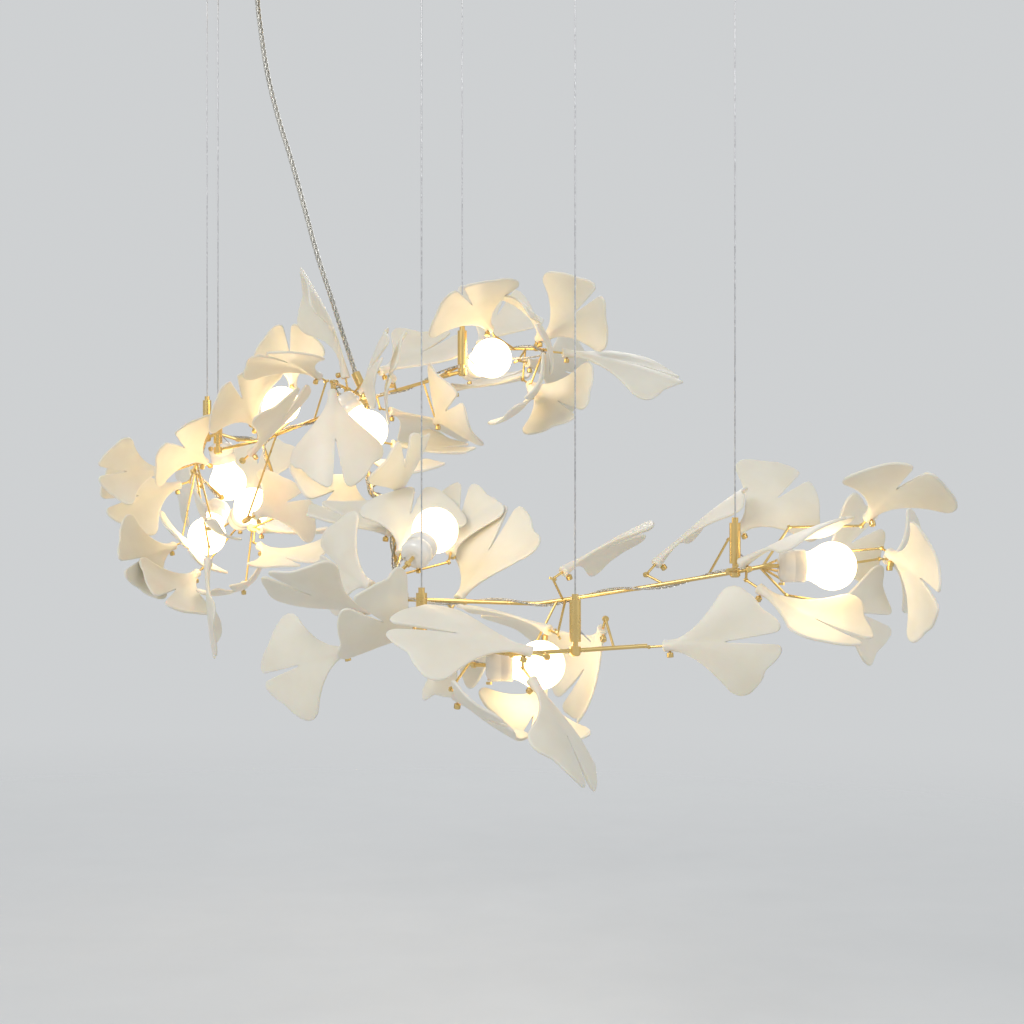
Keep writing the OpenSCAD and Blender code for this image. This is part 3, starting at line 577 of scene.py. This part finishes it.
def leaf_mesh(size, form, habit):
    """Porcelain leaf as one closed skin with rounded edges, foot at the origin, in mm."""
    points, faces = [], []
    foot = np.ones(len(ROWS))
    foot[:len(FOOT_ROWS)] = FOOT_ROWS
    q = np.broadcast_to(COLS[None, :], (len(ROWS), len(COLS)))
    v = np.broadcast_to(ROWS[:, None], q.shape)

    def surface(u, w):
        return leaf_surface(u, w, side, v, size, form, habit)

    for side in (-1, 1):
        wing = 1 - WING_DROP * (1 - quarter((q - WINGS[0]) / WINGS[1]))
        lobe = 1 - habit["lobe"] * (1 - quarter((LIP - q) / LIP))
        u = v * wing * lobe
        w = side * q
        middle = surface(u, w)
        off_foot = np.maximum(u, PROBE_FROM)
        along = surface(off_foot + PROBE, w) - surface(off_foot - PROBE, w)
        across = surface(off_foot, w + PROBE) - surface(off_foot, w - PROBE)
        normal = np.cross(across, along)
        normal /= np.linalg.norm(normal, axis=-1)[..., None]
        blade = np.clip(v / BLADE_FROM, 0, 1)
        start = EDGE_FROM * blade * blade * (3 - 2 * blade)
        half_t = LEAF_T / 2 + (STALK_R - LEAF_T / 2) * np.maximum(0, 1 - u / STALK_TO) ** 1.5
        half_t = half_t * quarter((q - start) / (1 - start)) * quarter((v - RIM[0]) / RIM[1])
        half_t = np.where(v > SLIT_FROM, half_t * quarter(1 - q / SLIT_EDGE), half_t)
        half_t = half_t * foot[:, None]
        middle = middle * np.where(v < FOOT_TO, foot[:, None], 1)[..., None]
        for s in (1, -1):
            start_at = sum(len(p) for p in points)
            points.append((middle + normal * (s * half_t)[..., None]).reshape(-1, 3))
            n = len(COLS)
            for i in range(len(ROWS) - 1):
                for j in range(n - 1):
                    a, b = start_at + i * n + j, start_at + i * n + j + 1
                    c, d = b + n, a + n
                    faces.append((a, b, c, d) if s * side > 0 else (a, d, c, b))
    return np.concatenate(points), faces


def joined_skin(name, points, faces, finish, body, node):
    """A piece from skins that meet at their edges, with its open foot closed."""
    made = piece(name, points, faces, finish)
    work = bmesh.new()
    work.from_mesh(made.data)
    bmesh.ops.remove_doubles(work, verts=work.verts, dist=2e-6)
    bmesh.ops.holes_fill(work, edges=[e for e in work.edges if e.is_boundary], sides=0)
    bmesh.ops.recalc_face_normals(work, faces=work.faces)
    for face in work.faces:
        face.smooth = True
    work.to_mesh(made.data)
    work.free()
    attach(made, body)
    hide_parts(node)


# Thumb screw as (height, radius), the heights of its knurl, how deep the knurl is as a
# share of the radius, and the screw's place along the stem
SCREW_PROFILE = [(1.3, 0.4), (1.3, 1.2), (6.1, 1.2), (6.2, 2.5), (6.6, 2.95), (7.0, 3.0), (10.2, 3.0),
                 (10.6, 2.8), (10.8, 2.4), (10.8, 1.7), (10.3, 1.6), (10.3, 0.2)]
KNURL = (6.9, 10.3)
KNURL_DEPTH = 0.07
SCREW_HEIGHT = 5.5


def leaf_habit(index):
    """Small differences between leaves: depth and place of the dents, slit, lobes, waves."""
    return {
        "dent": 0.018 + 0.022 * math.sin(index * 2.4) ** 2,
        "dent_at": 0.50 + 0.10 * math.sin(index * 1.7),
        "gap": 3.0 + 3.0 * math.sin(index * 3.1 + 1) ** 2,
        "lobe": 0.09 + 0.03 * math.sin(index * 5.3),
        "phase": index * 1.9,
    }


def make_leaf(index, name, lamp, foot, aim, face, size, form):
    """Porcelain leaf on its stem, with the thumb screw that clamps it."""
    along = np.array(aim, float) / np.linalg.norm(aim)
    side = np.array(face, float) - along * (np.array(face) @ along)
    side /= np.linalg.norm(side)
    axes = np.stack([np.cross(along, side), along, side])
    at_foot = np.array(LAMPS[lamp], float) + foot + DATUM
    points, faces = leaf_mesh(size, form, leaf_habit(index))
    points = (points @ axes + at_foot) * MM
    body = f"turn_{name}" if name in TURNING else "branches"
    leaf_node = f"leaf_{name}" if name in TURNING | SINGLE else GROUP_NODE[name[0]]
    screw_node = f"screw_{name}" if name in TURNING else "leaf_screws"
    joined_skin(f"porcelain_{name}", points, faces, PORCELAIN, body, leaf_node)
    sideways = Matrix.Rotation(math.pi / 2, 4, "Y")
    screw_at = moved(turned(at_foot - DATUM, aim), (0, 0, SCREW_HEIGHT), sideways)
    turned_screw = lathe(SCREW_PROFILE, 40, screw_at, KNURL)
    screw = piece(f"thumb_screw_{name}", *turned_screw, BRASS, body, screw_node)


for index, row in enumerate(LEAVES):
    make_leaf(index, *row)


# Lampholders, globes and their leads. Heights are measured from the globe's centre.

HOLDER_PROFILE = [(-49.8, 2.4), (-50, 3.4), (-50, 8.4), (-49.7, 9.4), (-49.1, 11), (-48.3, 12.8),
                  (-47.2, 13.8), (-45.6, 14.8), (-44.4, 15.2), (-43, 15.25), (-36.6, 15.25),
                  (-36.1, 14.9), (-35.4, 14.9), (-34.9, 15.25), (-27, 15.25), (-26, 15.1),
                  (-25.3, 14.8), (-25, 14.4), (-25.2, 14.0), (-26, 13.95), (-28.9, 13.9), (-29, 7.5),
                  (-42.3, 7.4), (-42.4, 0.5)]
CAP_PROFILE = [(-42, 0.3), (-42, 3.4), (-41, 3.5), (-41, 5.8)] + [
    (-40.6 + 0.7 * k, 6.9 - 0.5 * (k % 2)) for k in range(17)
] + [(-28.4, 6.6), (-28.2, 0.3)]
GLOBE_R = 22.5
GLOBE_PROFILE = [(-28.4, 0.4), (-28.5, 11.6), (-28.3, 12.3), (-27, 12.6), (-24.5, 12.9), (-22, 13.4),
                 (-20, 14.1), (-18.3, 15.0), (-16.9, 16.1)] + [
    (-GLOBE_R * math.cos(a), GLOBE_R * math.sin(a))
    for a in np.radians(np.linspace(48, 179.5, 30))
]

# A lead's way out of its lampholder, as (y, z) in the holder's own axes
LEAD_EXIT = ((8.5, -46), (8.5, -51), (7, -54.5), (3.9, -58.5))

# One turn of a lead around its rod, its distance from the rod's middle line, and the
# distance of the leads that run between hub and knee, in metres
LEAD_TURN = 0.110
LEAD_OFFSET = 0.0034
LINK_OFFSET = 0.0038

# Share of a lead over which it comes away from its lampholder's line
LEAD_FADE = 0.12


def make_lead(name, line):
    """Thin clear lead with two cores, fixed along the rods."""
    lead, cores = clear_cord(
        name, line, radius=0.0011, core=0.00042, offset=0.00045, pitch=0.012, cores=2)
    for part in (lead, cores):
        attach(part, "branches")
    return lead


def make_lamp(number, place, rods):
    """Lampholder, the globe's cap and the globe, and the lead that follows the rods."""
    holder = piece(
        f"holder_{number}", *lathe(HOLDER_PROFILE, 48, place), HOLDER_PORCELAIN,
        "branches", "lampholders")
    cap = piece(f"globe_cap_{number}", *lathe(CAP_PROFILE, 40, place), NICKEL, "branches", "bulbs")
    globe = piece(
        f"globe_{number}", *lathe(GLOBE_PROFILE, 64, place), FROSTED_GLASS, "branches", "bulbs")
    out = [(place @ np.array([0, y, z, 1]))[:3] - DATUM for y, z in LEAD_EXIT]
    route = np.array(out + [np.array(p, float) for p in rods]) + DATUM
    line = softened(route * MM, 0.002, 0.010)
    beside = strand(line, LEAD_OFFSET, LEAD_TURN, (number - 1) * 0.9)
    straight, _ = resampled(line, LEAD_TURN / 12)
    fade = np.clip(np.linspace(0, 1, len(beside)) / LEAD_FADE, 0, 1)[:, None]
    lead = make_lead(f"lamp_lead_{number}", straight * (1 - fade) + beside * fade)
    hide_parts("lamp_leads")


for i in range(len(LAMPS)):
    make_lamp(i + 1, turned(LAMPS[i], LAMP_AIMS[i]), LEAD_ROUTES[i])

link_line = softened((np.array(LINK_ROUTE, float) + DATUM) * MM, 0.002, 0.012)
for k in range(3):
    make_lead(f"link_lead_{k + 1}", strand(link_line, LINK_OFFSET, LEAD_TURN, k * 2.1))


# Finish of the solids that stay as they are

KEPT = {
    BRASS: ["main_arm", "near_arm", "low_arm", "far_arm", "left_arm", "holder_screws"]
    + [f"gripper_{i}" for i in range(1, 7)] + [f"nozzle_{i}" for i in range(1, 7)],
    ROSE_BRASS: ["ceiling_rose", "rose_screws", "wire_anchors"],
    ZINC: ["rose_bracket"],
    WHITE_PLASTIC: ["terminal_block", "cord_grip"],
}
for finish, names in KEPT.items():
    for name in names:
        materials = nodes[name].data.materials
        materials.clear()
        materials.append(finish)


# Floor, background and soft light

FLOOR_Z = -1.20
FLOOR_R = 3.0
FLOOR_RINGS = 14
FLOOR_FADE = (0.9, 2.9)
FLOOR_CENTRE = (0.2, -0.2)
LAMP_TARGET = (*FLOOR_CENTRE, -0.65)


def floor(count=96):
    """Round floor of rings around the middle of the stage."""
    x, y = FLOOR_CENTRE
    points, faces = [(x, y, FLOOR_Z)], []
    for i in range(1, FLOOR_RINGS + 1):
        r = FLOOR_R * i / FLOOR_RINGS
        for k in range(count):
            a = k / count * 2 * math.pi
            points.append((x + r * math.cos(a), y + r * math.sin(a), FLOOR_Z))
    for k in range(count):
        faces.append((0, 1 + k, 1 + (k + 1) % count))
    for i in range(FLOOR_RINGS - 1):
        for k in range(count):
            a, b = 1 + i * count + k, 1 + i * count + (k + 1) % count
            faces.append((a, a + count, b + count, b))
    made = piece("floor", points, faces, floor_finish())


def floor_finish():
    """Pale floor that fades into the background far from the object."""
    made = shader(
        "pale_floor", (0.72, 0.735, 0.745), (0.74, 0.755, 0.765), 6, (0.55, 0.7), 300, 0.05, 0.0005,
        Emission_Color=(0.97, 0.98, 1.0, 1),
    )
    tree = made.node_tree
    bsdf = tree.nodes["Principled BSDF"]
    seen = tree.nodes.new("ShaderNodeLightPath")
    glow = tree.nodes.new("ShaderNodeMath")
    glow.operation = "MULTIPLY"
    glow.inputs[1].default_value = 0.05
    tree.links.new(seen.outputs["Is Camera Ray"], glow.inputs[0])
    tree.links.new(glow.outputs[0], bsdf.inputs["Emission Strength"])
    place = tree.nodes.new("ShaderNodeTexCoord")
    away = tree.nodes.new("ShaderNodeVectorMath")
    away.operation = "LENGTH"
    tree.links.new(place.outputs["Object"], away.inputs[0])
    fade = tree.nodes.new("ShaderNodeMapRange")
    fade.interpolation_type = "SMOOTHSTEP"
    fade.inputs["From Min"].default_value = FLOOR_FADE[0]
    fade.inputs["From Max"].default_value = FLOOR_FADE[1]
    tree.links.new(away.outputs["Value"], fade.inputs["Value"])
    clear = tree.nodes.new("ShaderNodeBsdfTransparent")
    mix = tree.nodes.new("ShaderNodeMixShader")
    tree.links.new(fade.outputs["Result"], mix.inputs[0])
    tree.links.new(bsdf.outputs[0], mix.inputs[1])
    tree.links.new(clear.outputs[0], mix.inputs[2])
    tree.links.new(mix.outputs[0], tree.nodes["Material Output"].inputs["Surface"])
    return made


def background():
    """Soft light from all around; the pale backdrop is what the camera and gloss see."""
    world = bpy.data.worlds.new("studio")
    bpy.context.scene.world = world
    world.use_nodes = True
    tree = world.node_tree
    light = tree.nodes["Background"]
    light.inputs["Color"].default_value = (0.96, 0.98, 1.0, 1)
    light.inputs["Strength"].default_value = 0.46
    seen = tree.nodes.new("ShaderNodeBackground")
    seen.inputs["Color"].default_value = (0.62, 0.635, 0.645, 1)
    seen.inputs["Strength"].default_value = 1.0
    path = tree.nodes.new("ShaderNodeLightPath")

    def either(a, b):
        node = tree.nodes.new("ShaderNodeMath")
        node.operation = "MAXIMUM"
        tree.links.new(a, node.inputs[0])
        tree.links.new(b, node.inputs[1])
        return node.outputs[0]

    through = either(path.outputs["Is Camera Ray"], path.outputs["Is Transmission Ray"])
    mix = tree.nodes.new("ShaderNodeMixShader")
    tree.links.new(either(through, path.outputs["Is Glossy Ray"]), mix.inputs[0])
    tree.links.new(light.outputs[0], mix.inputs[1])
    tree.links.new(seen.outputs[0], mix.inputs[2])
    tree.links.new(mix.outputs[0], tree.nodes["World Output"].inputs["Surface"])


def soft_lamp(name, place, size, power, colour):
    """Round area lamp that looks at the middle of the object."""
    data = bpy.data.lights.new(name, "AREA")
    data.shape = "DISK"
    data.size = size
    data.energy = power
    data.color = colour
    lamp = bpy.data.objects.new(name, data)
    lamp.location = place
    aim = Vector(LAMP_TARGET) - Vector(place)
    lamp.rotation_euler = aim.to_track_quat("-Z", "Y").to_euler()
    bpy.context.scene.collection.objects.link(lamp)


floor()
background()
soft_lamp("key", (-1.3, -2.4, 0.9), 1.6, 36, (1.0, 0.98, 0.95))
soft_lamp("fill", (2.2, -1.6, 0.2), 1.8, 10, (0.93, 0.97, 1.0))
soft_lamp("rim", (0.4, 2.4, 0.8), 1.6, 12, (1.0, 0.99, 0.97))
